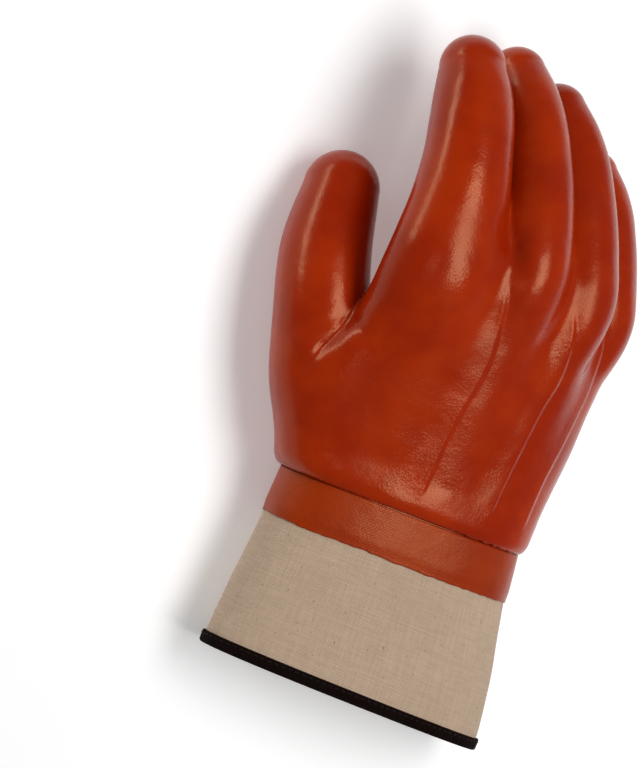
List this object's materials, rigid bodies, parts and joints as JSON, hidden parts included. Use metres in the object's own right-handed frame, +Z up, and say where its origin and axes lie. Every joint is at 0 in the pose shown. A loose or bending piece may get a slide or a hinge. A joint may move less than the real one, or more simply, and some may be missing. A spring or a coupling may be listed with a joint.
{
  "type": "work glove",
  "caption": "Coated winter work glove for the right hand with a smooth dipped shell, a flared canvas safety cuff and a bound hem.",
  "frame": {"origin": "middle of the bottom of the glove's bounding box, on the surface that it lies on", "axes": "+Y from the hem of the cuff to the fingertips, +Z up out of the back of the hand, +X across the hand towards the little finger"},
  "size_m": [0.1732, 0.3024, 0.0862],
  "materials": {
    "coat": "gloss",
    "canvas": "matte",
    "tape": "matte"
  },
  "bodies": {
    "root": {"hand_shell": "coat", "dipped_band": "coat", "canvas_cuff": "canvas", "hem_binding": "tape"}
  },
  "joints": []
}
